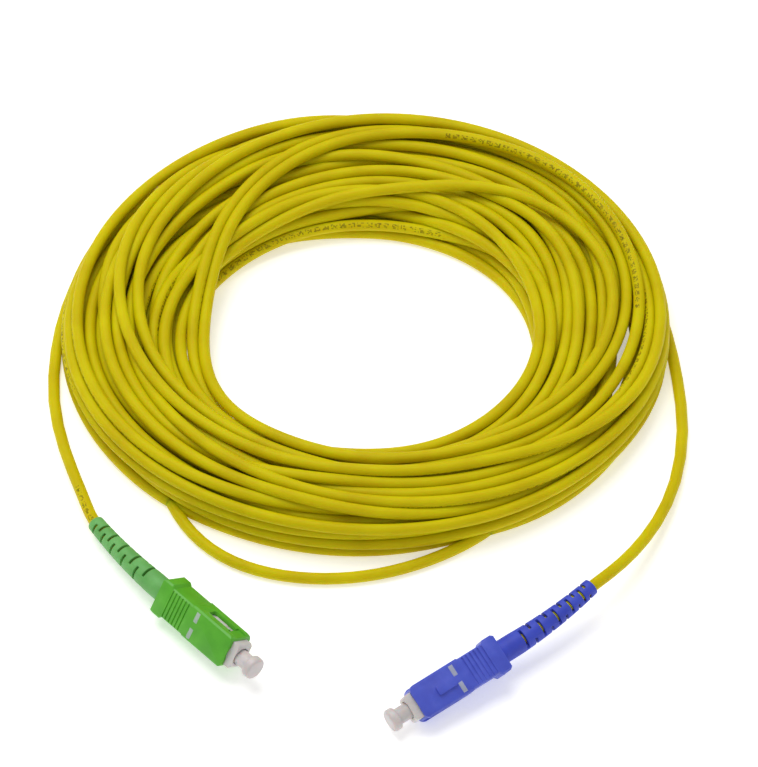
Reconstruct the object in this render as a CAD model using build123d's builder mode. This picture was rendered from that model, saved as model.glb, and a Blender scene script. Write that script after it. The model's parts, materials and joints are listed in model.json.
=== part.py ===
from build123d import *
from math import pi, radians, tan
import os

# Fiber optic patch cord: 15 m of 3 mm single-fibre cable in a loose round coil, with a push-pull
# plug on each end. The green plug has an angled ferrule, the blue plug a flat one.
# Millimetres, +Z up, origin at the centre of the coil on the surface that the cord lies on.
#
# A plug is drawn in its own frame: +X is the mating direction, +Z is the key side, and X = 0 is
# the front edge of the coloured housing.

# --- cable -------------------------------------------------------------------------------------
CABLE_D = 3.0
COIL_RX, COIL_RY = 78.5, 70.0          # outline of the whole bundle of turns
EYE_RX, EYE_RY = 43.5, 39.0            # the open middle of the coil
EYE_CENTRE = (-0.3, -4.5)
COIL_HEIGHT = 14.0
COIL_EDGE_R, COIL_BASE_CHAMFER = 4.0, 1.0
CORNER_SHARE = 0.45                    # share of the shorter run that each route arc takes

# --- where each plug lies: nose position on the surface, and its turn, dip and roll in degrees ---
PLUG_POSES = {
    "green": {"x": -31.8, "y": -102.6, "turn": -47.0, "dip": -2.2, "roll": -125.7},
    "blue": {"x": 12.2, "y": -117.5, "turn": -145.5, "dip": 4.5, "roll": -26.6},
}
FERRULE_ANGLE = {"green": 8.0, "blue": 0.0}   # end face of the ferrule, degrees off square

# --- outer housing -------------------------------------------------------------------------------
HOUSING_LENGTH = 25.4
HOUSING_WIDTH, HOUSING_HEIGHT = 9.0, 7.4
HOUSING_BEVEL = 0.45                   # along the four long edges
NOSE_R = 1.5                           # front corners, seen from the key side
GRIP_WIDTH, GRIP_FRONT, GRIP_REAR, GRIP_STEP = 8.5, 14.2, 21.7, 0.3
SHOULDER_WIDTH, SHOULDER_RAMP = 9.9, 0.7
SHOULDER_CHAMFER = 0.6
CAVITY_WIDTH, CAVITY_HEIGHT, CAVITY_DEPTH = 7.0, 5.4, 17.5
REAR_BORE_R = 3.2
GROOVES, GROOVE_FIRST, GROOVE_PITCH = 6, 15.6, 1.15
GROOVE_WIDTH, GROOVE_LENGTH, GROOVE_DEPTH = 0.45, 7.8, 0.25
WINDOW_LENGTH, WINDOW_HEIGHT, WINDOW_FRONT, WINDOW_R = 7.6, 2.9, 3.4, 0.6
CHANNEL_HEIGHT, CHANNEL_DEPTH = 4.2, 0.45
KEY_WIDTH, KEY_FRONT, KEY_REAR, KEY_HEIGHT, KEY_END_R = 2.4, 5.8, 11.2, 0.7, 0.6

# --- plug frame, ferrule and what is behind it ----------------------------------------------------
FRAME_NOSE, FRAME_REAR = 2.0, -16.5
FRAME_WIDTH, FRAME_HEIGHT = 6.8, 5.2
FRAME_MOUTH_R, FRAME_WEB_R, FRAME_BORE_R = 2.35, 1.4, 2.1
WEB_FRONT, WEB_REAR = -4.4, -5.4
FRAME_CHAMFER = 0.5
LUG_FRONT, LUG_REAR, LUG_HEIGHT, LUG_PROUD, LUG_RAMP = -5.4, -9.9, 2.3, 0.35, 0.56
FERRULE_R, FERRULE_TIP, FERRULE_REAR, FERRULE_CHAMFER = 1.25, 4.6, -7.5, 0.3
ANGLED_TIP_SETBACK = 0.1               # how far the angled face starts behind a flat one
COLLAR_R, COLLAR_FRONT, COLLAR_REAR, COLLAR_CHAMFER = 1.9, -5.5, -8.0, 0.3
TUBE_TAIL_R, TUBE_TAIL_REAR, TUBE_TAIL_BORE_R = 1.1, -10.5, 0.5
SPRING_R, SPRING_WIRE_R, SPRING_FRONT, SPRING_REAR, SPRING_TURNS = 1.5, 0.18, -8.25, -13.65, 5
STOP_FRONT, STOP_R, STOP_FLANGE_R, STOP_FLANGE_REAR = -13.9, 2.08, 2.6, -17.7
STOP_TAIL_R, STOP_TAIL_REAR, STOP_BORE_R = 1.7, -23.7, 0.9
GUIDE_R, GUIDE_BORE_R, GUIDE_FRONT, GUIDE_REAR = 0.85, 0.5, -12.4, -24.5
BUFFER_R, BUFFER_FRONT = 0.45, -9.2
YARN_R, YARN_BORE_R, YARN_FRONT, YARN_REAR = 1.98, 1.72, -18.1, -23.6
CRIMP_R, CRIMP_BORE_R, CRIMP_FRONT, CRIMP_STEP = 2.35, 2.0, -17.9, -24.6
CRIMP_NECK_R, CRIMP_NECK_BORE_R, CRIMP_WEB, CRIMP_REAR = 1.85, 1.52, 0.4, -30.5
JACKET_END = -25.5                     # where the cable's jacket is stripped

# --- dust cap --------------------------------------------------------------------------------------
CAP_TUBE_R, CAP_BORE_R, CAP_REAR, CAP_BORE_END = 2.1, 1.29, -2.0, 5.1
CAP_HEAD_R, CAP_HEAD_FRONT, CAP_HEAD_REAR, CAP_HEAD_EDGE = 2.95, 7.6, 5.2, 0.7

# --- boot --------------------------------------------------------------------------------------------
BOOT_FRONT, BOOT_TAPER_START, BOOT_TIP = -19.0, -30.0, -54.8
BOOT_R, BOOT_TIP_R, BOOT_TIP_EDGE = 3.05, 2.15, 0.4
BOOT_CRIMP_BORE_R, BOOT_NECK_BORE_R, BOOT_CABLE_BORE_R = 2.45, 2.05, 1.65
BOOT_CRIMP_END, BOOT_NECK_END = -24.8, -31.0
BOOT_SLOTS, BOOT_SLOT_FIRST, BOOT_SLOT_WIDTH = 10, -31.8, 0.7
BOOT_PITCH_FIRST, BOOT_PITCH_LAST = 2.7, 1.75
BOOT_SLOT_HALF_ANGLE = 59.0            # each slot runs this far both ways round the boot
BOOT_SLOT_TURN = {"green": 19.0, "blue": 85.0}   # which way the first pair of slots faces

# --- routes of the two free tails, after their two points on the plug's axis --------------------------
TAIL_STRAIGHT = -58.0                  # the cable stays on the plug's axis this far back
TAIL_ROUTES = {
    "green": [(-79.5, -28.5, 2.0), (-80.0, 0.0, 1.6), (-72.5, 26.0, 3.5), (-58.0, 46.0, 5.0)],
    "blue": [(77.5, -58.0, 3.5), (82.5, -28.0, 1.6), (79.0, 0.0, 1.6), (72.5, 25.0, 3.5),
             (57.0, 47.0, 5.0)],
}


def turned_profile(points):
    """A solid of revolution about X from (x, radius) points."""
    with BuildPart() as turned:
        with BuildSketch(Plane.XY):
            with BuildLine():
                Polyline(*points, close=True)
            make_face()
        revolve(axis=Axis.X)
    return turned


def make_outer_housing():
    sections = [
        (0, HOUSING_WIDTH), (GRIP_FRONT, HOUSING_WIDTH), (GRIP_FRONT + GRIP_STEP, GRIP_WIDTH),
        (GRIP_REAR, GRIP_WIDTH), (GRIP_REAR + SHOULDER_RAMP, SHOULDER_WIDTH),
        (HOUSING_LENGTH, SHOULDER_WIDTH),
    ]
    with BuildPart() as housing:
        for back, width in sections:
            with BuildSketch(Plane.YZ.offset(-back)) as section:
                Rectangle(width, HOUSING_HEIGHT)
                chamfer(section.vertices(), HOUSING_BEVEL)
        loft(ruled=True)
        # Seen from the key side, the front corners are round and the rear ones are cut off.
        with BuildSketch(Plane.XY) as plan:
            with Locations((-HOUSING_LENGTH / 2, 0)):
                Rectangle(HOUSING_LENGTH, SHOULDER_WIDTH)
            chamfer(plan.vertices().group_by(Axis.X)[0], SHOULDER_CHAMFER)
            with Locations((-GRIP_FRONT / 2, 0)):
                Rectangle(GRIP_FRONT, 2 * HOUSING_WIDTH, mode=Mode.SUBTRACT)
                Rectangle(GRIP_FRONT, HOUSING_WIDTH)
            fillet(plan.vertices().group_by(Axis.X)[-1], NOSE_R)
        extrude(amount=HOUSING_HEIGHT, both=True, mode=Mode.INTERSECT)
        # Cavity for the plug frame, then the bore that slides over the boot.
        with BuildSketch(Plane.YZ):
            Rectangle(CAVITY_WIDTH, CAVITY_HEIGHT)
        extrude(amount=-CAVITY_DEPTH, mode=Mode.SUBTRACT)
        with BuildSketch(Plane.YZ):
            Circle(REAR_BORE_R)
        extrude(amount=-HOUSING_LENGTH, mode=Mode.SUBTRACT)
        # Latch windows in the narrow sides, with a shallow channel to the front edge.
        with BuildSketch(Plane.XZ):
            with Locations((-WINDOW_FRONT - WINDOW_LENGTH / 2, 0)):
                RectangleRounded(WINDOW_LENGTH, WINDOW_HEIGHT, WINDOW_R)
        extrude(amount=HOUSING_WIDTH, both=True, mode=Mode.SUBTRACT)
        with Locations(*[(-WINDOW_FRONT / 2, side * HOUSING_WIDTH / 2, 0) for side in (1, -1)]):
            Box(WINDOW_FRONT, 2 * CHANNEL_DEPTH, CHANNEL_HEIGHT, mode=Mode.SUBTRACT)
        # Grip grooves on both wide faces.
        groove_places = [
            (-GROOVE_FIRST - i * GROOVE_PITCH, 0, side * HOUSING_HEIGHT / 2)
            for i in range(GROOVES) for side in (1, -1)
        ]
        with Locations(*groove_places):
            Box(GROOVE_WIDTH, GROOVE_LENGTH, 2 * GROOVE_DEPTH, mode=Mode.SUBTRACT)
        # Key rib.
        with BuildSketch(Plane.XY.offset(HOUSING_HEIGHT / 2)):
            with Locations((-(KEY_FRONT + KEY_REAR) / 2, 0)):
                RectangleRounded(KEY_REAR - KEY_FRONT, KEY_WIDTH, KEY_END_R)
        extrude(amount=KEY_HEIGHT)
    return housing


def make_plug_frame():
    with BuildPart() as frame:
        with BuildSketch(Plane.YZ.offset(FRAME_REAR)):
            Rectangle(FRAME_WIDTH, FRAME_HEIGHT)
        extrude(amount=FRAME_NOSE - FRAME_REAR)
        chamfer(frame.faces().sort_by(Axis.X)[-1].edges().filter_by(Axis.Z), FRAME_CHAMFER)
        # Latch lugs on the narrow sides, ramped at the front.
        half = FRAME_WIDTH / 2
        with BuildSketch(Plane.XY):
            with BuildLine():
                Polyline(
                    (LUG_FRONT, half), (LUG_FRONT - LUG_RAMP, half + LUG_PROUD),
                    (LUG_REAR, half + LUG_PROUD), (LUG_REAR, -half - LUG_PROUD),
                    (LUG_FRONT - LUG_RAMP, -half - LUG_PROUD), (LUG_FRONT, -half), close=True,
                )
            make_face()
        extrude(amount=LUG_HEIGHT / 2, both=True)
        # Mouth for the dust cap and the adapter's sleeve, web, and spring bore.
        with BuildSketch(Plane.YZ.offset(FRAME_NOSE)):
            Circle(FRAME_MOUTH_R)
        extrude(amount=WEB_FRONT - FRAME_NOSE, mode=Mode.SUBTRACT)
        with BuildSketch(Plane.YZ.offset(WEB_FRONT)):
            Circle(FRAME_WEB_R)
        extrude(amount=WEB_REAR - WEB_FRONT, mode=Mode.SUBTRACT)
        with BuildSketch(Plane.YZ.offset(WEB_REAR)):
            Circle(FRAME_BORE_R)
        extrude(amount=FRAME_REAR - WEB_REAR, mode=Mode.SUBTRACT)
    return frame


def make_ferrule(angle):
    length = FERRULE_TIP - FERRULE_REAR
    with BuildPart() as ferrule:
        with BuildSketch(Plane.YZ.offset(FERRULE_REAR)):
            Circle(FERRULE_R)
        extrude(amount=length)
        chamfer(ferrule.edges().sort_by(Axis.X)[-1], FERRULE_CHAMFER)
        if angle:
            middle = (FERRULE_TIP - ANGLED_TIP_SETBACK, 0, 0)
            face = Plane(middle, x_dir=(0, 1, 0), z_dir=(1, 0, tan(radians(angle))))
            split(bisect_by=face, keep=Keep.BOTTOM)
    return ferrule


def make_ferrule_flange():
    return turned_profile([
        (COLLAR_FRONT, FERRULE_R), (COLLAR_FRONT, COLLAR_R - COLLAR_CHAMFER),
        (COLLAR_FRONT - COLLAR_CHAMFER, COLLAR_R), (COLLAR_REAR, COLLAR_R),
        (COLLAR_REAR, TUBE_TAIL_R), (TUBE_TAIL_REAR, TUBE_TAIL_R),
        (TUBE_TAIL_REAR, TUBE_TAIL_BORE_R), (FERRULE_REAR, TUBE_TAIL_BORE_R), (FERRULE_REAR, FERRULE_R),
    ])


def make_spring():
    length = SPRING_FRONT - SPRING_REAR
    with BuildPart() as spring:
        with BuildLine() as wire:
            Helix(pitch=length / SPRING_TURNS, height=length, radius=SPRING_R,
                  center=(SPRING_REAR, 0, 0), direction=(1, 0, 0))
        with BuildSketch(Plane(wire.line @ 0, z_dir=wire.line % 0)):
            Circle(SPRING_WIRE_R)
        sweep(path=wire.line, is_frenet=True)
    return spring


def make_stop_ring():
    return turned_profile([
        (STOP_FRONT, STOP_BORE_R), (STOP_FRONT, STOP_R), (FRAME_REAR, STOP_R),
        (FRAME_REAR, STOP_FLANGE_R), (STOP_FLANGE_REAR, STOP_FLANGE_R),
        (STOP_FLANGE_REAR, STOP_TAIL_R), (STOP_TAIL_REAR, STOP_TAIL_R), (STOP_TAIL_REAR, STOP_BORE_R),
    ])


def make_tube(front, rear, radius, bore_radius):
    return turned_profile([(front, bore_radius), (front, radius), (rear, radius), (rear, bore_radius)])


def make_tight_buffer():
    return turned_profile([
        (BUFFER_FRONT, 0), (BUFFER_FRONT, BUFFER_R), (JACKET_END, BUFFER_R), (JACKET_END, 0),
    ])


def make_crimp_sleeve():
    return turned_profile([
        (CRIMP_FRONT, CRIMP_BORE_R), (CRIMP_FRONT, CRIMP_R), (CRIMP_STEP, CRIMP_R),
        (CRIMP_STEP, CRIMP_NECK_R), (CRIMP_REAR, CRIMP_NECK_R), (CRIMP_REAR, CRIMP_NECK_BORE_R),
        (CRIMP_STEP + CRIMP_WEB, CRIMP_NECK_BORE_R), (CRIMP_STEP + CRIMP_WEB, CRIMP_BORE_R),
    ])


def make_dust_cap():
    with BuildPart() as cap:
        with BuildSketch(Plane.YZ.offset(CAP_REAR)):
            Circle(CAP_TUBE_R)
        extrude(amount=CAP_HEAD_FRONT - CAP_REAR)
        with BuildSketch(Plane.YZ.offset(CAP_HEAD_REAR)):
            Circle(CAP_HEAD_R)
        extrude(amount=CAP_HEAD_FRONT - CAP_HEAD_REAR)
        between = (CAP_TUBE_R + CAP_HEAD_R) / 2
        rim = cap.edges().filter_by(GeomType.CIRCLE).filter_by(lambda e: e.radius > between)
        fillet(rim, CAP_HEAD_EDGE)
        with BuildSketch(Plane.YZ.offset(CAP_REAR)):
            Circle(CAP_BORE_R)
        extrude(amount=CAP_BORE_END - CAP_REAR, mode=Mode.SUBTRACT)
    return cap


def make_boot(slot_turn):
    with BuildPart() as boot:
        with BuildSketch(Plane.XY):
            with BuildLine():
                Polyline(
                    (BOOT_FRONT, BOOT_CRIMP_BORE_R), (BOOT_FRONT, BOOT_R), (BOOT_TAPER_START, BOOT_R),
                    (BOOT_TIP, BOOT_TIP_R), (BOOT_TIP, BOOT_CABLE_BORE_R),
                    (BOOT_NECK_END, BOOT_CABLE_BORE_R), (BOOT_NECK_END, BOOT_NECK_BORE_R),
                    (BOOT_CRIMP_END, BOOT_NECK_BORE_R), (BOOT_CRIMP_END, BOOT_CRIMP_BORE_R), close=True,
                )
            make_face()
        revolve(axis=Axis.X)
        tip_rim = boot.edges().group_by(Axis.X)[0].sort_by(SortBy.LENGTH)[-1]
        fillet(tip_rim, BOOT_TIP_EDGE)
        # Pairs of slots, each pair a quarter turn from the one before, closer towards the tip.
        back = BOOT_SLOT_FIRST
        reach = 2 * BOOT_R
        half_width = reach * tan(radians(BOOT_SLOT_HALF_ANGLE))
        for i in range(BOOT_SLOTS):
            with BuildSketch(Plane.YZ.offset(back)):
                with PolarLocations(0, 2, start_angle=slot_turn + 90 * i):
                    Polygon((0, 0), (reach, -half_width), (reach, half_width), align=None)
            extrude(amount=-BOOT_SLOT_WIDTH, mode=Mode.SUBTRACT)
            back -= BOOT_PITCH_FIRST + (BOOT_PITCH_LAST - BOOT_PITCH_FIRST) * i / (BOOT_SLOTS - 1)
    return boot


def make_coil():
    with BuildPart() as coil:
        with BuildSketch(Plane.XY):
            Ellipse(COIL_RX, COIL_RY)
            with Locations(EYE_CENTRE):
                Ellipse(EYE_RX, EYE_RY, mode=Mode.SUBTRACT)
        extrude(amount=COIL_HEIGHT)
        fillet(coil.faces().group_by(Axis.Z)[-1].edges(), COIL_EDGE_R)
        chamfer(coil.faces().group_by(Axis.Z)[0].edges(), COIL_BASE_CHAMFER)
    return coil


def make_tail(name, points):
    """A tube of straight runs and tangent arcs, each arc as large as its two runs allow."""
    points = [Vector(*p) for p in points]
    runs = [b - a for a, b in zip(points, points[1:])]
    radii = []
    for before, after in zip(runs, runs[1:]):
        half_turn = radians(before.get_angle(after)) / 2
        radii.append(CORNER_SHARE * min(before.length, after.length) / tan(half_turn))
    with BuildPart() as tail:
        with BuildLine() as route:
            FilletPolyline(*points, radius=radii)
        with BuildSketch(Plane(points[0], z_dir=runs[0])):
            Circle(CABLE_D / 2)
        sweep(path=route.wires()[0])
    section = pi * CABLE_D**2 / 4
    print(name, "runs", [round(r.length, 1) for r in runs], "radii", [round(r, 1) for r in radii])
    print(name, "length", round(route.wires()[0].length, 1), "volume over section",
          round(tail.part.volume / section, 1))
    return tail


def save(piece, name):
    piece.label = name
    export_step(piece, f"parts/{name}.step")


os.makedirs("parts", exist_ok=True)

coil = make_coil()
save(coil.part, "cable_coil")

for end, pose in PLUG_POSES.items():
    pieces = {
        "outer_housing": make_outer_housing(),
        "plug_frame": make_plug_frame(),
        "ferrule": make_ferrule(FERRULE_ANGLE[end]),
        "ferrule_flange": make_ferrule_flange(),
        "spring": make_spring(),
        "stop_ring": make_stop_ring(),
        "buffer_guide": make_tube(GUIDE_FRONT, GUIDE_REAR, GUIDE_R, GUIDE_BORE_R),
        "tight_buffer": make_tight_buffer(),
        "aramid_yarn": make_tube(YARN_FRONT, YARN_REAR, YARN_R, YARN_BORE_R),
        "crimp_sleeve": make_crimp_sleeve(),
        "boot": make_boot(BOOT_SLOT_TURN[end]),
        "dust_cap": make_dust_cap(),
    }
    turn = Location((0, 0, 0), (0, 0, pose["turn"]))
    dip = Location((0, 0, 0), (0, pose["dip"], 0))
    roll = Location((0, 0, 0), (pose["roll"], 0, 0))
    aimed = turn * dip * roll
    # The plug lies on the lowest corner of its housing.
    lift = -pieces["outer_housing"].part.moved(aimed).bounding_box().min.Z
    place = Location((pose["x"], pose["y"], lift)) * aimed
    print(end, "plug axis height", round(lift, 3))
    for name, piece in pieces.items():
        save(piece.part.moved(place), f"{end}_{name}")
    inside = [(place * Location((back, 0, 0))).position for back in (JACKET_END, TAIL_STRAIGHT)]
    tail = make_tail(f"{end}_tail", [tuple(p) for p in inside] + TAIL_ROUTES[end])
    save(tail.part, f"{end}_tail")
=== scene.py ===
"""Fiber optic patch cord: 15 m of yellow cable in a loose coil, with a green and a blue plug."""
import json
import math

import bmesh
import bpy
import numpy as np
from mathutils import Matrix, Vector


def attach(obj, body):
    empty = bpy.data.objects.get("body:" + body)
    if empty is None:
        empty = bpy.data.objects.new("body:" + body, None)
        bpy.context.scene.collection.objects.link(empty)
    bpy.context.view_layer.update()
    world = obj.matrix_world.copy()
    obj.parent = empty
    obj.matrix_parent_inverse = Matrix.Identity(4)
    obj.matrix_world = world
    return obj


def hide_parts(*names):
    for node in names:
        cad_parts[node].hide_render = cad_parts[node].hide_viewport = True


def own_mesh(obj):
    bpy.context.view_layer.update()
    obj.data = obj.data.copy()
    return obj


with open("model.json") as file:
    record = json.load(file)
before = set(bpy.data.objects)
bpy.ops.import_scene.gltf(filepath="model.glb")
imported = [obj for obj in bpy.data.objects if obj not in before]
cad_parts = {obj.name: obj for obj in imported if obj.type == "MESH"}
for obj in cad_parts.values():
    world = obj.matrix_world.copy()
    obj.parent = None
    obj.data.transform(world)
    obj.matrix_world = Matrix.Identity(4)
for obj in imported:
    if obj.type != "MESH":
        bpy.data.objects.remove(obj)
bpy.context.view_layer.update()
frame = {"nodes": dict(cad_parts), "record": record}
nodes = frame["nodes"]
slots = {part["node"]: part["material_slot"] for part in frame["record"]["subparts"]}

MM = 0.001

# --- sizes shared with the frame, in metres ---------------------------------------------------------
CABLE_D = 3.0 * MM
BUNDLE = (77.5 * MM, 68.5 * MM)        # outline of the bundle of turns
EYE = (45.3 * MM, 39.5 * MM)           # the open middle
EYE_CENTRE = (-1.5 * MM, -5.0 * MM)
JACKET_END = -25.5 * MM
BOOT_FRONT, BOOT_TAPER_START, BOOT_TIP = -19.0 * MM, -30.0 * MM, -54.8 * MM
BOOT_R, BOOT_TIP_R = 3.05 * MM, 2.15 * MM
BOOT_BORES = ((-24.8 * MM, 2.45 * MM), (-31.0 * MM, 2.05 * MM), (-60.0 * MM, 1.65 * MM))
BOOT_SLOTS, SLOT_FIRST, SLOT_WIDTH = 10, -31.8 * MM, 0.7 * MM
SLOT_PITCH_FIRST, SLOT_PITCH_LAST = 2.7 * MM, 1.75 * MM
SLOT_HALF_ANGLE = math.radians(59.0)
HOUSING_FACE = 3.7 * MM                # the wide faces' distance from the plug's axis
PLUGS = {
    "green": {"at": (-31.8 * MM, -102.6 * MM, 6.864 * MM), "turn": -47.0, "dip": -2.2, "roll": -125.7,
              "slot_turn": 19.0, "tip_push": (2.4 * MM, 0.9 * MM, -0.9 * MM)},
    "blue": {"at": (12.2 * MM, -117.5 * MM, 5.072 * MM), "turn": -145.5, "dip": 4.5, "roll": -26.6,
             "slot_turn": 85.0, "tip_push": (-1.2 * MM, 1.9 * MM, 0.3 * MM)},
}


def plug_place(end):
    """The 4x4 that puts a plug's own frame (+X forward, +Z key side) where the plug lies."""
    p = PLUGS[end]
    turn = Matrix.Rotation(math.radians(p["turn"]), 4, "Z")
    dip = Matrix.Rotation(math.radians(p["dip"]), 4, "Y")
    roll = Matrix.Rotation(math.radians(p["roll"]), 4, "X")
    return Matrix.Translation(p["at"]) @ turn @ dip @ roll


# --- camera and light -------------------------------------------------------------------------------
CAMERA_AIM = Vector((3.5 * MM, -13.5 * MM, 0))
CAMERA_DISTANCE = 1.48
CAMERA_ELEVATION = math.radians(52.0)
CAMERA_LENS = 274.6


def make_camera():
    data = bpy.data.cameras.new("camera")
    data.sensor_fit = "HORIZONTAL"
    data.sensor_width = 36.0
    data.lens = CAMERA_LENS
    camera = bpy.data.objects.new("camera", data)
    away = Vector((0, -math.cos(CAMERA_ELEVATION), math.sin(CAMERA_ELEVATION)))
    camera.location = CAMERA_AIM + CAMERA_DISTANCE * away
    camera.rotation_euler = (-away).to_track_quat("-Z", "Y").to_euler()
    bpy.context.scene.collection.objects.link(camera)
    bpy.context.scene.camera = camera


def make_area_light(name, at, size, power):
    data = bpy.data.lights.new(name, "AREA")
    data.shape = "SQUARE"
    data.size = size
    data.energy = power
    light = bpy.data.objects.new(name, data)
    light.location = at
    light.rotation_euler = (-Vector(at)).to_track_quat("-Z", "Y").to_euler()
    bpy.context.scene.collection.objects.link(light)


make_camera()
make_area_light("overhead_softbox", (-0.3, 0.35, 1.3), 0.9, 11.0)
make_area_light("front_softbox", (0.5, -1.2, 0.9), 0.8, 0.6)

bpy.context.scene.view_settings.view_transform = "Standard"
world = bpy.data.worlds.new("studio")
bpy.context.scene.world = world
world.use_nodes = True
backdrop = world.node_tree.nodes["Background"]
backdrop.inputs["Color"].default_value = (1.0, 0.99, 0.98, 1)
backdrop.inputs["Strength"].default_value = 0.48


# --- materials --------------------------------------------------------------------------------------
class Wire:
    """One output socket of a material, so that shader maths reads as arithmetic."""

    def __init__(self, paint, socket):
        self.paint, self.socket = paint, socket

    def maths(self, operation, *values):
        return self.paint.node("ShaderNodeMath", {"operation": operation}, dict(enumerate(values)))

    def __add__(self, other):
        return self.maths("ADD", self, other)

    def __sub__(self, other):
        return self.maths("SUBTRACT", self, other)

    def __rsub__(self, other):
        return self.maths("SUBTRACT", other, self)

    def __mul__(self, other):
        return self.maths("MULTIPLY", self, other)

    def __gt__(self, other):
        return self.maths("GREATER_THAN", self, other)

    def __lt__(self, other):
        return self.maths("LESS_THAN", self, other)

    def __abs__(self):
        return self.maths("ABSOLUTE", self)

    def floor(self):
        return self.maths("FLOOR", self)

    def fraction(self):
        return self.maths("FRACT", self)

    def sine(self):
        return self.maths("SINE", self)

    def to_and_fro(self, reach):
        """Rises to reach and falls back to 0, over and over."""
        return self.maths("PINGPONG", self, reach)

    __radd__, __rmul__ = __add__, __mul__


class Paint:
    """A node material built around one Principled shader."""

    def __init__(self, name, **fixed):
        self.material = bpy.data.materials.new(name)
        self.material.use_nodes = True
        self.tree = self.material.node_tree
        self.shader = self.tree.nodes["Principled BSDF"]
        for socket, value in fixed.items():
            self.shader.inputs[socket.replace("_", " ")].default_value = value

    def node(self, kind, settings=None, sockets=None, output=0):
        made = self.tree.nodes.new(kind)
        for key, value in (settings or {}).items():
            if key == "stops":
                ramp = made.color_ramp
                while len(ramp.elements) < len(value):
                    ramp.elements.new(1.0)
                for element, (position, colour) in zip(ramp.elements, value):
                    element.position, element.color = position, colour
            else:
                setattr(made, key, value)
        for key, value in (sockets or {}).items():
            self.join(value, made.inputs[key])
        return Wire(self, made.outputs[output])

    def join(self, value, socket):
        if isinstance(value, Wire):
            self.tree.links.new(value.socket, socket)
        else:
            socket.default_value = value

    def place(self, scale=1.0):
        """Object coordinates times a scale, in cells per metre."""
        spot = self.node("ShaderNodeTexCoord", output="Object")
        return self.node("ShaderNodeVectorMath", {"operation": "SCALE"}, {0: spot, "Scale": scale})

    def noise(self, vector, scale, detail=3.0):
        return self.node("ShaderNodeTexNoise", None, {
            "Vector": vector, "Scale": scale, "Detail": detail, "Roughness": 0.5}, "Fac")

    def blend(self, factor, first, second):
        return self.node("ShaderNodeMix", {"data_type": "RGBA"}, {0: factor, 6: first, 7: second}, output=2)

    def ramp(self, value, *stops):
        return self.node("ShaderNodeValToRGB", {"stops": stops}, {"Fac": value}, output="Color")

    def bump(self, height, strength, distance, under=None):
        sockets = {"Height": height, "Strength": strength, "Distance": distance}
        if under is not None:
            sockets["Normal"] = under
        return self.node("ShaderNodeBump", None, sockets, output="Normal")

    def set(self, **links):
        for socket, value in links.items():
            self.join(value, self.shader.inputs[socket.replace("_", " ")])
        return self.material


def rgb(red, green, blue):
    """Linear colour from the 0 to 255 values of a screen."""
    def linear(c):
        c /= 255
        return c / 12.92 if c <= 0.04045 else ((c + 0.055) / 1.055) ** 2.4
    return (linear(red), linear(green), linear(blue), 1.0)


def moulded_plastic(name, colour, dark, light, roughness, grain, **fixed):
    """Injection moulded plastic with a fine spark-eroded grain and faint flow marks."""
    p = Paint(name, **fixed)
    spot = p.place(1000.0)
    clouds = p.noise(spot, 0.22, 4.0)
    fine = p.noise(spot, 7.0, 2.0)
    tone = p.ramp(clouds, (0.3, dark), (0.52, colour), (0.78, light))
    speck = p.blend(fine * 0.10, tone, light)
    return p.set(
        Base_Color=speck,
        Roughness=roughness - 0.06 + 0.14 * clouds,
        Normal=p.bump(fine, grain, 0.00002, p.bump(clouds, 0.3, 0.00006)),
    )


def jacket_material():
    """Extruded yellow jacket: fine lengthwise drawing lines, scuffs, and a row of printed ticks."""
    p = Paint("jacket_yellow", IOR=1.46, Specular_IOR_Level=0.13, Subsurface_Weight=0.5,
              Subsurface_Radius=(1.0, 0.4, 0.05), Subsurface_Scale=0.0024)
    uv = p.node("ShaderNodeTexCoord", output="UV")
    parts = p.tree.nodes.new("ShaderNodeSeparateXYZ")
    p.join(uv, parts.inputs[0])
    along = Wire(p, parts.outputs["X"]) * 1000.0      # millimetres along the cable
    around = Wire(p, parts.outputs["Y"])
    spot = p.place(1000.0)
    clouds = p.noise(spot, 0.09, 4.0)
    mottle = p.noise(spot, 0.9, 3.0)
    lines_at = p.node("ShaderNodeCombineXYZ", None, {"X": along * 0.06, "Y": around * 60.0})
    lines = p.noise(lines_at, 1.0, 2.0)
    tone = p.ramp(clouds, (0.28, rgb(197, 178, 0)), (0.5, rgb(205, 190, 0)), (0.75, rgb(212, 201, 0)))
    tone = p.blend(mottle * 0.12, tone, rgb(222, 215, 8))
    # Printed ticks: little dark dots in a band that winds slowly round the jacket.
    PRINT_PITCH, PRINT_SPAN = 520.0, 84.0             # one print each so many mm, and its length
    BAND_HALF = 0.07                                  # half its width, as a share of the way round
    DOTS_PER_MM, DOT_ROWS = 2.6, 32.0
    TICKS_PER_MM, TICK_SHARE, DOT_CUT = 0.433, 0.74, 0.52
    band = 0.3 + 0.34 * (along * 0.0031).sine()
    cell = p.node("ShaderNodeCombineXYZ", None, {
        "X": (along * DOTS_PER_MM).floor(), "Y": (around * DOT_ROWS).floor()})
    dots = p.node("ShaderNodeTexWhiteNoise", {"noise_dimensions": "2D"}, {"Vector": cell}, "Value")
    in_tick = (along * TICKS_PER_MM).fraction() < TICK_SHARE
    in_band = abs(around - band) < BAND_HALF
    in_print = along.to_and_fro(PRINT_PITCH / 2) < PRINT_SPAN / 2
    printed = (dots > DOT_CUT) * in_tick * in_band * in_print
    inked = p.blend(printed * (0.25 + 0.75 * mottle), tone, rgb(104, 90, 12))
    return p.set(
        Base_Color=inked,
        Roughness=0.46 + 0.16 * mottle,
        Normal=p.bump(lines, 0.10, 0.00003, p.bump(clouds, 0.25, 0.00012)),
    )


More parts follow.
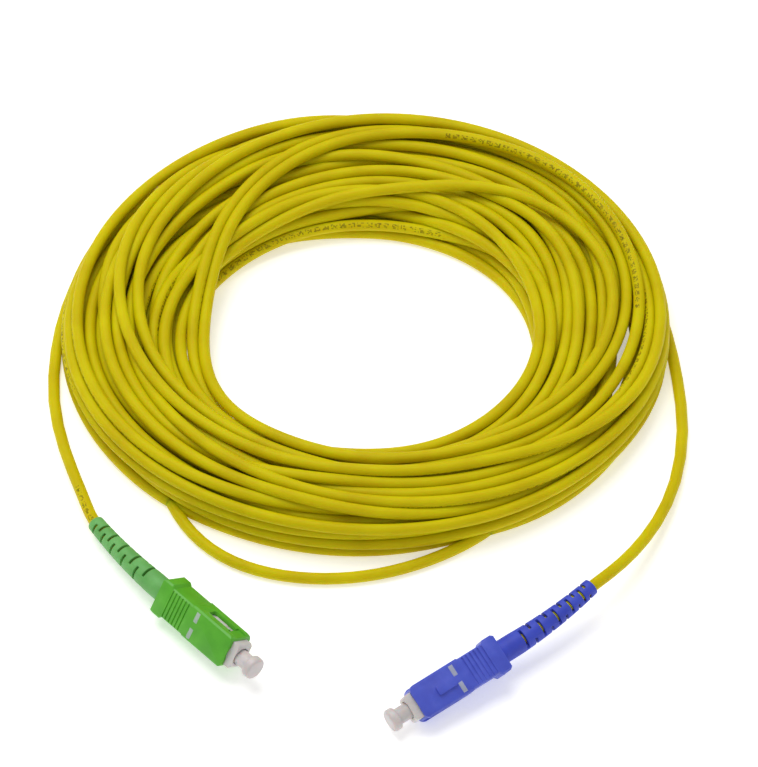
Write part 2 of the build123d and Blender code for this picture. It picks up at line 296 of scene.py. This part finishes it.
def metal(name, colour, roughness, grain=0.15):
    """Turned or drawn metal with fine scratches."""
    p = Paint(name, Metallic=1.0)
    spot = p.place(1000.0)
    scratches = p.noise(spot, 3.0, 4.0)
    return p.set(
        Base_Color=p.blend(scratches * 0.25, colour, rgb(120, 118, 112)),
        Roughness=roughness + 0.12 * scratches,
        Normal=p.bump(scratches, grain, 0.00002),
    )


def yarn_material():
    """Golden aramid yarn in wavy strands."""
    p = Paint("aramid", Roughness=0.7)
    spot = p.place(1000.0)
    wave = p.node("ShaderNodeTexWave", {"bands_direction": "DIAGONAL"}, {
        "Vector": spot, "Scale": 2.0, "Distortion": 3.0, "Detail": 2.0}, "Fac")
    return p.set(
        Base_Color=p.blend(wave, rgb(214, 172, 66), rgb(240, 210, 120)),
        Normal=p.bump(wave, 0.6, 0.00005),
    )


def floor_material():
    """A pale, faintly glowing table that keeps shadows soft."""
    p = Paint("floor_white", Specular_IOR_Level=0.2, Emission_Color=(1, 1, 1, 1), Emission_Strength=0.4)
    spot = p.place(1.0)
    return p.set(
        Base_Color=p.blend(p.noise(spot, 3.0) * 0.3, (0.93, 0.93, 0.93, 1), (0.9, 0.9, 0.9, 1)),
        Roughness=0.75 + 0.1 * p.noise(spot, 8.0),
    )


def soft_plastic(name, colour, dark, light, roughness, grain, glow, depth):
    """Moulded plastic that light enters a little way, by depth in metres."""
    return moulded_plastic(name, colour, dark, light, roughness, grain,
                           Subsurface_Weight=glow, Subsurface_Scale=depth)


MATERIALS = {
    "jacket_yellow": jacket_material(),
    "housing_green": soft_plastic(
        "housing_green", rgb(84, 175, 32), rgb(76, 165, 28), rgb(98, 187, 47), 0.42, 0.35, 0.05, 0.5 * MM),
    "housing_blue": soft_plastic(
        "housing_blue", rgb(70, 87, 203), rgb(64, 78, 192), rgb(86, 101, 212), 0.42, 0.35, 0.05, 0.5 * MM),
    "boot_green": soft_plastic(
        "boot_green", rgb(103, 176, 89), rgb(94, 166, 80), rgb(118, 190, 106), 0.58, 0.5, 0.1, 0.6 * MM),
    "boot_blue": soft_plastic(
        "boot_blue", rgb(52, 71, 196), rgb(45, 62, 184), rgb(67, 87, 207), 0.58, 0.5, 0.1, 0.6 * MM),
    "frame_white": soft_plastic(
        "frame_white", rgb(212, 207, 204), rgb(203, 198, 195), rgb(222, 218, 215), 0.42, 0.2, 0.25, MM),
    "cap_milky": soft_plastic(
        "cap_milky", rgb(206, 199, 198), rgb(197, 190, 189), rgb(217, 211, 210), 0.38, 0.2, 0.35, 1.5 * MM),
    "zirconia": moulded_plastic(
        "zirconia", rgb(240, 238, 232), rgb(232, 230, 224), rgb(246, 245, 242), 0.12, 0.05),
    "clear_tube": moulded_plastic(
        "clear_tube", rgb(222, 224, 226), rgb(210, 212, 214), rgb(234, 236, 238), 0.2, 0.05),
    "buffer_white": moulded_plastic(
        "buffer_white", rgb(232, 232, 228), rgb(222, 222, 218), rgb(240, 240, 238), 0.4, 0.1),
    "nickel": metal("nickel", rgb(206, 203, 194), 0.24),
    "spring_steel": metal("spring_steel", rgb(176, 176, 178), 0.3),
    "crimp_metal": metal("crimp_metal", rgb(186, 184, 178), 0.34, 0.35),
    "aramid": yarn_material(),
    "ink_white": moulded_plastic(
        "ink_white", rgb(214, 220, 222), rgb(198, 206, 210), rgb(226, 230, 230), 0.5, 0.2, Alpha=0.55),
}


def show(obj, material):
    obj.data.materials.clear()
    obj.data.materials.append(material)


# --- floor ------------------------------------------------------------------------------------------
def make_floor():
    bpy.ops.object.select_all(action="DESELECT")
    bpy.ops.mesh.primitive_plane_add(size=8.0, location=(0, 0, 0))
    floor = bpy.context.object
    floor.name = "floor"
    show(floor, floor_material())


# --- the cable: two free ends and the coil between them ---------------------------------------------
SLICES = 72                            # coil points in each turn
TURNS = 40
FIRST_ANGLE, LAST_ANGLE = 140.0, 40.0  # where the green end joins, and the blue end leaves
WIND_SEED = 11
STACK_RISE = 1.15 * MM                 # how far each turn starts above the one before, before settling
GIVE = 0.8 * MM                        # how far a turn may be pushed past the edge of the bundle
LEAN_TOWARDS = 55.0                    # later turns stand off this way, earlier ones the other way
SLIT_ANGLE, SLIT_SPAN, SLIT_WIDTH = -3.0, 42.0, 8.0 * MM
SLIT_SHARE = 0.70                      # how far across the bundle the slit opens
LOOSE_TURN, LOOSE_ANGLE, LOOSE_REACH = 1, -112.0, 11.5 * MM
LOOSE_BEFORE, LOOSE_AFTER = 92.0, 42.0
LEFT = 185.0                           # angle of the coil's left side
# Turns laid last, on top: how far round from the left side, and how far across the bundle.
LEADS = {
    36: [(-260, 0.9), (-220, 0.86), (-180, 0.66), (-135, 0.36), (-95, 0.1), (-45, -0.02), (-5, -0.28),
         (25, -0.12), (50, 0.25), (70, 0.6), (92, 0.9), (140, 0.97), (200, 0.9)],
    37: [(-240, 0.94), (-200, 0.84), (-165, 0.6), (-130, 0.34), (-90, 0.08), (-45, -0.06), (-5, -0.40),
         (25, -0.22), (46, 0.15), (66, 0.5), (88, 0.86), (140, 0.97), (200, 0.9)],
    38: [(-235, 0.9), (-195, 0.85), (-160, 0.72), (-130, 0.58), (-100, 0.36), (-70, 0.14),
         (-45, 0.05), (-20, 0.2), (5, 0.42), (28, 0.56), (55, 0.76), (85, 0.9), (130, 0.95), (200, 0.9)],
}
GREEN_END = [(-68.9, -58.2, 3.6), (-71.3, -50.8, 3.0), (-76.3, -36.5, 2.0), (-79.8, -20.5, 1.6),
             (-79.6, -4.0, 1.6), (-77.4, 10.0, 1.6), (-73.2, 23.0, 1.6), (-66.9, 35.0, 1.6)]
BLUE_END = [(69.0, 29.5, 1.6), (74.5, 15.0, 1.6), (77.8, 1.0, 1.6), (79.9, -13.0, 1.6),
            (81.0, -30.0, 1.6), (78.5, -47.0, 2.2), (73.2, -61.0, 4.0), (66.8, -72.0, 6.4),
            (61.0, -79.6, 8.6)]
AXIS_POINTS = [back * MM for back in (-25.5, -31.0, -37.0, -43.0, -49.0, -54.5)]  # inside the boot


def ellipse_reach(angle, radii, centre=(0.0, 0.0)):
    """Distance from the origin to an ellipse, in the direction of each angle."""
    c, s = np.cos(angle), np.sin(angle)
    a, b = radii
    square = (c / a) ** 2 + (s / b) ** 2
    linear = -2 * (c * centre[0] / a**2 + s * centre[1] / b**2)
    rest = (centre[0] / a) ** 2 + (centre[1] / b) ** 2 - 1
    return (-linear + np.sqrt(linear**2 - 4 * square * rest)) / (2 * square)


def evened(values, times=1):
    """Each value pulled towards its neighbours along the cable; the two ends stay."""
    for _ in range(times):
        inner = 0.25 * values[:-2] + 0.5 * values[1:-1] + 0.25 * values[2:]
        values = np.concatenate([values[:1], inner, values[-1:]])
    return values


def ease(x):
    """A soft step from 0 at x = 0 to 1 at x = 1."""
    x = np.clip(x, 0, 1)
    return x * x * (3 - 2 * x)


def bump(x):
    """A soft hill: 1 at x = 0 and 0 from x = 1 outwards, both ways."""
    return np.cos(np.clip(np.abs(x), 0, 1) * np.pi / 2) ** 2


def wander(rng, turns, periods):
    """A slow random wave along the turns, the sum of waves of these periods, in turns."""
    waves = [np.cos(2 * np.pi * (turns / period + rng.random())) for period in periods]
    return sum(waves) / math.sqrt(len(periods))


class Winding:
    """The coil's points as numbers: the turn, the angle, and which points share a slice."""

    def __init__(self):
        self.steps = TURNS * SLICES + round((FIRST_ANGLE - LAST_ANGLE) / 360 * SLICES) + 1
        self.turn = np.arange(self.steps) / SLICES
        self.left = self.turn[-1] - self.turn
        self.angle = math.radians(FIRST_ANGLE) - 2 * np.pi * self.turn
        self.rows = math.ceil(self.steps / SLICES)
        # The last turn isn't whole: the rest of its row is filled with points far away.
        self.far = 1e3 + 10.0 * np.arange(self.rows * SLICES - self.steps)
        half = CABLE_D / 2
        self.inner = ellipse_reach(self.angle, [r + half for r in EYE], EYE_CENTRE)
        self.outer = ellipse_reach(self.angle, [r - half for r in BUNDLE])

    def by_slice(self, values, filler):
        return np.concatenate([values, filler]).reshape(self.rows, SLICES)

    def in_line(self, table):
        return table.ravel()[:self.steps]

    def past(self, turn, angle):
        """Degrees travelled since a given turn passed a given angle, negative before it."""
        return 360 * (self.turn - turn) - (FIRST_ANGLE - angle) % 360


def spread_turns(w, rng):
    """Each turn is a loop off centre, so turns cross at shallow angles. Ranking the turns in each
    slice fills the bundle evenly from the eye (0) to the outside (1)."""
    OFF_CENTRE, LEAN_WANDER, SWAY_WANDER, CROWDING = 0.9, 0.35, 0.3, 1.1
    off_centre = OFF_CENTRE * (2 * w.turn / w.turn[-1] - 1)
    spread = wander(rng, w.turn, (4.3, 7.1, 12.7))
    lean = off_centre + LEAN_WANDER * wander(rng, w.turn, (4.7, 7.9, 11.3))
    sway = SWAY_WANDER * wander(rng, w.turn, (3.3, 6.1, 9.1))
    turned = w.angle - math.radians(LEAN_TOWARDS)
    raw = w.by_slice(spread + lean * np.cos(turned) + sway * np.sin(turned), w.far)
    order = raw.argsort(0).argsort(0)
    share = 2 * (order + 0.5) / (raw < w.far[0]).sum(0) - 1
    across = evened(w.in_line(0.5 + 0.5 * np.sign(share) * np.abs(share) ** CROWDING), 60)
    return 1 + (across - 1) * ease(w.turn / 0.5) * ease(w.left / 0.6)


def wanted_reach(w, across):
    """How far from the middle each point is meant to lie."""
    slit_at = (np.degrees(w.angle) - SLIT_ANGLE + 180) % 360 - 180
    slit = SLIT_WIDTH * bump(slit_at / SLIT_SPAN)
    reach = w.inner + (w.outer - w.inner - slit) * across + slit * ease((across - SLIT_SHARE) / 0.05)
    # One early turn bulges out in front of the rest.
    past = w.past(LOOSE_TURN, LOOSE_ANGLE)
    span = np.where(past < 0, LOOSE_BEFORE, LOOSE_AFTER)
    reach = reach + (w.outer - reach) * bump(past / span / 1.2) + LOOSE_REACH * bump(past / span)
    # The turns laid last, on top of the others.
    LEAD_IN, LEAD_OUT = 80.0, 50.0         # degrees over which a lead is taken up and let go
    for turn, route in LEADS.items():
        past = w.past(turn, LEFT)
        share = evened(np.interp(past, *zip(*route)), 40)
        held = ease((past - route[0][0]) / LEAD_IN) * ease((route[-1][0] + LEAD_OUT - past) / LEAD_OUT)
        reach = reach + held * (w.inner + (w.outer - w.inner) * share - reach)
    # The blue end comes down the outside, to the surface.
    BLUE_STAND_OFF = 2.5 * MM
    return reach + BLUE_STAND_OFF * bump((w.left - 0.22) / 0.2)


def lay_coil():
    """The coil's centreline. Every turn starts at its own height, falls, and is eased away from
    the turns that it touches, until the bundle lies still."""
    w = Winding()
    wanted = wanted_reach(w, spread_turns(w, np.random.default_rng(WIND_SEED)))
    half = CABLE_D / 2
    nearest = np.minimum(w.inner - GIVE, wanted)
    furthest = np.maximum(w.outer + GIVE, wanted)
    reach = wanted.copy()
    height = half + STACK_RISE * w.turn * ease((w.left - 0.12) / 0.18)
    SETTLE, REST = 240, 120                # rounds of falling, and of easing apart at rest
    FALL, PULL_BACK, PUSH = 0.22 * MM, 0.03, 0.3
    for k in range(SETTLE + REST):
        if k < SETTLE:
            height = evened(height - FALL, 3)
            reach = reach + PULL_BACK * (wanted - reach)
        else:
            height = evened(height)
        reach = np.clip(wanted + evened(reach - wanted, 2), nearest, furthest)
        height = np.maximum(height, half)
        for _ in range(2):
            r = w.by_slice(reach, w.far)
            z = w.by_slice(height, 0 * w.far)
            dr, dz = r[:, None] - r[None], z[:, None] - z[None]
            apart = np.sqrt(dr * dr + dz * dz) + 1e3 * np.eye(w.rows)[:, :, None]
            push = np.where(apart < CABLE_D, PUSH * (CABLE_D - apart) / np.maximum(apart, 1e-6), 0)
            reach = reach + w.in_line((push * dr).sum(1))
            height = np.maximum(height + w.in_line((push * dz).sum(1)), half)
    reach, height = evened(reach, 3), np.maximum(evened(height, 3), half)
    return [Vector(p) for p in zip(reach * np.cos(w.angle), reach * np.sin(w.angle), height)]


def smooth_line(name, points, resolution):
    """The points of a smooth spline that has these control points."""
    curve = bpy.data.curves.new(name, "CURVE")
    curve.dimensions = "3D"
    curve.resolution_u = resolution
    spline = curve.splines.new("NURBS")
    spline.points.add(len(points) - 1)
    for made, p in zip(spline.points, points):
        made.co = (*p, 1.0)
    spline.order_u = 3
    spline.use_endpoint_u = True
    holder = bpy.data.objects.new(name, curve)
    mesh = bpy.data.meshes.new_from_object(holder)
    line = np.array([v.co[:] for v in mesh.vertices])
    bpy.data.objects.remove(holder)
    bpy.data.curves.remove(curve)
    bpy.data.meshes.remove(mesh)
    return line


def tube_mesh(name, line, radius, sides):
    """A tube round a line, with a UV map: metres along the line, and the share of the way round."""
    step = np.diff(line, axis=0)
    along = np.concatenate([[0], np.cumsum(np.linalg.norm(step, axis=1))])
    tangent = np.gradient(line, along, axis=0)
    tangent /= np.linalg.norm(tangent, axis=1)[:, None]
    side = np.cross(tangent, (0, 0, 1.0))
    side /= np.linalg.norm(side, axis=1)[:, None]
    top = np.cross(side, tangent)
    turn = 2 * np.pi * np.arange(sides) / sides
    ring = side[:, None] * np.cos(turn)[:, None] + top[:, None] * np.sin(turn)[:, None]
    points = (line[:, None] + radius * ring).reshape(-1, 3)
    n = len(line)
    i, k = np.meshgrid(np.arange(n - 1), np.arange(sides), indexing="ij")
    after = (k + 1) % sides
    quads = np.stack([i * sides + k, i * sides + after, (i + 1) * sides + after, (i + 1) * sides + k], -1)
    faces = [list(q) for q in quads.reshape(-1, 4)]
    faces += [list(range(sides))[::-1], [(n - 1) * sides + k for k in range(sides)]]
    mesh = bpy.data.meshes.new(name)
    mesh.from_pydata(points.tolist(), [], faces)
    uv = mesh.uv_layers.new(name="along_and_round")
    u = np.stack([along[i], along[i], along[i + 1], along[i + 1]], -1)
    v = np.stack([k, k + 1, k + 1, k], -1) / sides
    caps = np.zeros((2 * sides, 2))
    corners = np.concatenate([np.stack([u, v], -1).reshape(-1, 2), caps])
    uv.data.foreach_set("uv", corners.astype(np.float32).ravel())
    mesh.polygons.foreach_set("use_smooth", [True] * len(faces))
    mesh.update()
    obj = bpy.data.objects.new(name, mesh)
    bpy.context.scene.collection.objects.link(obj)
    return obj


def bent(end, point):
    """Where a point of a straight boot goes, in the plug's own frame, as the boot bends to its side."""
    start, reach = BOOT_TAPER_START, BOOT_TAPER_START - BOOT_TIP
    behind = start - point.x
    if behind <= 0:
        return point
    push = plug_place(end).to_3x3().inverted() @ Vector(PLUGS[end]["tip_push"])
    push.x = 0
    aside = push.normalized()
    slope = 2 * push.length * behind / reach**2
    off = point.dot(aside)
    centre = Vector((point.x, 0, 0)) + aside * push.length * (behind / reach) ** 2
    across = (aside + slope * Vector((1, 0, 0))).normalized()
    return centre + off * across + (Vector((0, point.y, point.z)) - off * aside)


def cable_points():
    """Control points of the whole cable, from inside the green boot to inside the blue one."""
    def in_boot(end):
        return [plug_place(end) @ bent(end, Vector((back, 0, 0))) for back in AXIS_POINTS]

    green = in_boot("green") + [Vector(p) * MM for p in GREEN_END]
    blue = [Vector(p) * MM for p in BLUE_END] + in_boot("blue")[::-1]
    return green + lay_coil() + blue


def make_cable():
    """The one continuous cable, which stands for the coil and both tails."""
    line = smooth_line("patch_cable_line", cable_points(), resolution=2)
    cable = tube_mesh("patch_cable", line, CABLE_D / 2, sides=14)
    show(cable, MATERIALS["jacket_yellow"])
    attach(cable, "cord")
    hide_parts("cable_coil", "green_tail", "blue_tail")


# --- pieces of the plugs ----------------------------------------------------------------------------
def only(obj):
    """Makes one object the only selected one, and the active one."""
    bpy.ops.object.select_all(action="DESELECT")
    obj.select_set(True)
    bpy.context.view_layer.objects.active = obj


def apply_modifier(obj, kind, **settings):
    """Adds one modifier and applies it to the mesh."""
    only(obj)
    made = obj.modifiers.new(kind.lower(), kind)
    for key, value in settings.items():
        setattr(made, key, value)
    bpy.ops.object.modifier_apply(modifier=made.name)


def smooth(obj, degrees=32.0):
    """Smooth shading, with edges sharper than this left crisp."""
    only(obj)
    bpy.ops.object.shade_smooth_by_angle(angle=math.radians(degrees))


def pick_faces(obj, chosen):
    """Selects the faces, in edit mode, whose middle passes a test."""
    mesh = bmesh.from_edit_mesh(obj.data)
    for face in mesh.faces:
        face.select_set(chosen(face.calc_center_median()))
    bmesh.update_edit_mesh(obj.data)


def rounded_copy(node, name, body, radius, segments=2):
    """A copy of a frame node with its edges rounded, which stands in for the node."""
    obj = bpy.data.objects.new(name, nodes[node].data.copy())
    bpy.context.scene.collection.objects.link(obj)
    only(obj)
    bpy.ops.object.mode_set(mode="EDIT")
    bpy.ops.mesh.select_all(action="SELECT")
    bpy.ops.mesh.remove_doubles(threshold=1e-6)
    bpy.ops.mesh.dissolve_limited(angle_limit=math.radians(0.5))
    bpy.ops.object.mode_set(mode="OBJECT")
    apply_modifier(obj, "BEVEL", width=radius, segments=segments, limit_method="ANGLE",
                   angle_limit=math.radians(28.0))
    smooth(obj)
    show(obj, MATERIALS[slots[node]])
    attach(obj, body)
    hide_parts(node)
    return obj


def make_spring(end):
    """The spring, seated on the stop ring as the frame places it, copied with its edges barely rounded onto
    a mesh of its own.
    """
    spring = rounded_copy(end + "_spring", end + "_wound_spring", "cord", 0.01 * MM, segments=1)
    place = plug_place(end)
    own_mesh(spring)


def boot_radius(back):
    """Outer radius of the boot at a distance behind the housing's front edge."""
    taper = (back - BOOT_TAPER_START) / (BOOT_TIP - BOOT_TAPER_START)
    return BOOT_R + (BOOT_TIP_R - BOOT_R) * min(max(taper, 0.0), 1.0)


def boot_bore(back):
    """Inner radius of the boot: crimp, neck and cable bores, one after another."""
    return next(radius for end, radius in BOOT_BORES if back > end)


def slot_backs():
    """Where each pair of slots starts, closer together towards the tip."""
    back = SLOT_FIRST
    for i in range(BOOT_SLOTS):
        yield back
        back -= SLOT_PITCH_FIRST + (SLOT_PITCH_LAST - SLOT_PITCH_FIRST) * i / (BOOT_SLOTS - 1)


def make_boot(end):
    """A tapered rubber sleeve, slotted from two sides in turn, bent the way the cable leaves."""
    SIDES, BORE_STEP, WALL, EDGE = 48, 0.3 * MM, 0.5 * MM, 0.11 * MM
    bpy.ops.object.select_all(action="DESELECT")
    bpy.ops.mesh.primitive_cylinder_add(
        vertices=SIDES, radius=BOOT_R, depth=BOOT_FRONT - BOOT_TIP, end_fill_type="NOTHING",
        location=((BOOT_FRONT + BOOT_TIP) / 2, 0, 0), rotation=(0, math.pi / 2, 0))
    boot = bpy.context.object
    boot.name = boot.data.name = end + "_bent_boot"
    bpy.ops.object.transform_apply(location=True, rotation=True, scale=True)

    slots_at = list(slot_backs())
    cuts = [x for back in slots_at for x in (back, back - SLOT_WIDTH)]
    cuts += [step for bore_end, _ in BOOT_BORES[:2] for step in (bore_end, bore_end - BORE_STEP)]
    cuts += [BOOT_TAPER_START]
    bpy.ops.object.mode_set(mode="EDIT")
    for x in cuts:
        bpy.ops.mesh.select_all(action="SELECT")
        bpy.ops.mesh.bisect(plane_co=(x, 0, 0), plane_no=(1, 0, 0))

    def in_slot(middle):
        for i, back in enumerate(slots_at):
            if back - SLOT_WIDTH < middle.x < back:
                facing = math.atan2(middle.z, middle.y) - math.radians(PLUGS[end]["slot_turn"] + 90 * i)
                return abs((facing + math.pi / 2) % math.pi - math.pi / 2) < SLOT_HALF_ANGLE
        return False

    pick_faces(boot, in_slot)
    bpy.ops.mesh.delete(type="FACE")
    bpy.ops.object.mode_set(mode="OBJECT")

    apply_modifier(boot, "SOLIDIFY", thickness=WALL, offset=-1.0)
    for v in boot.data.vertices:
        outside = math.hypot(v.co.y, v.co.z) > BOOT_R - WALL / 2
        radius = boot_radius(v.co.x) if outside else boot_bore(v.co.x)
        across = Vector((0, v.co.y, v.co.z)).normalized() * radius
        v.co = (v.co.x, across.y, across.z)
    apply_modifier(boot, "BEVEL", width=EDGE, segments=2, limit_method="ANGLE",
                   angle_limit=math.radians(40.0))
    for v in boot.data.vertices:
        v.co = plug_place(end) @ bent(end, v.co)
    smooth(boot, 40.0)
    show(boot, MATERIALS["boot_" + end])
    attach(boot, "cord")
    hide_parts(end + "_boot")


def make_marks(end):
    """Four white pad-printed bars on the housing, two on each wide face."""
    BAR, BAR_BACK, BAR_ASIDE, BAR_SUNK = (1.2 * MM, 2.85 * MM, 0.16 * MM), -12.0 * MM, 2.35 * MM, 0.05 * MM
    bars = []
    for side in (-1, 1):
        for face in (-1, 1):
            bpy.ops.object.select_all(action="DESELECT")
            bpy.ops.mesh.primitive_cube_add(
                size=1.0, location=(BAR_BACK, side * BAR_ASIDE, face * (HOUSING_FACE - BAR_SUNK)))
            bar = bpy.context.object
            bar.scale = BAR
            bpy.ops.object.transform_apply(location=True, rotation=True, scale=True)
            bars.append(bar)
    bpy.ops.object.select_all(action="DESELECT")
    for bar in bars:
        bar.select_set(True)
    bpy.context.view_layer.objects.active = bars[0]
    bpy.ops.object.join()
    marks = bars[0]
    marks.name = marks.data.name = end + "_printed_bars"
    apply_modifier(marks, "BEVEL", width=0.045 * MM, segments=2)
    marks.data.transform(plug_place(end))
    smooth(marks)
    show(marks, MATERIALS["ink_white"])
    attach(marks, end + "_housing")


for node, obj in nodes.items():
    show(obj, MATERIALS[slots[node]])

make_floor()
make_cable()
for end in PLUGS:
    rounded_copy(end + "_outer_housing", end + "_moulded_housing", end + "_housing", 0.14 * MM)
    rounded_copy(end + "_plug_frame", end + "_moulded_frame", "cord", 0.12 * MM)
    rounded_copy(end + "_dust_cap", end + "_moulded_cap", end + "_cap", 0.35 * MM, segments=4)
    make_spring(end)
    make_boot(end)
    make_marks(end)
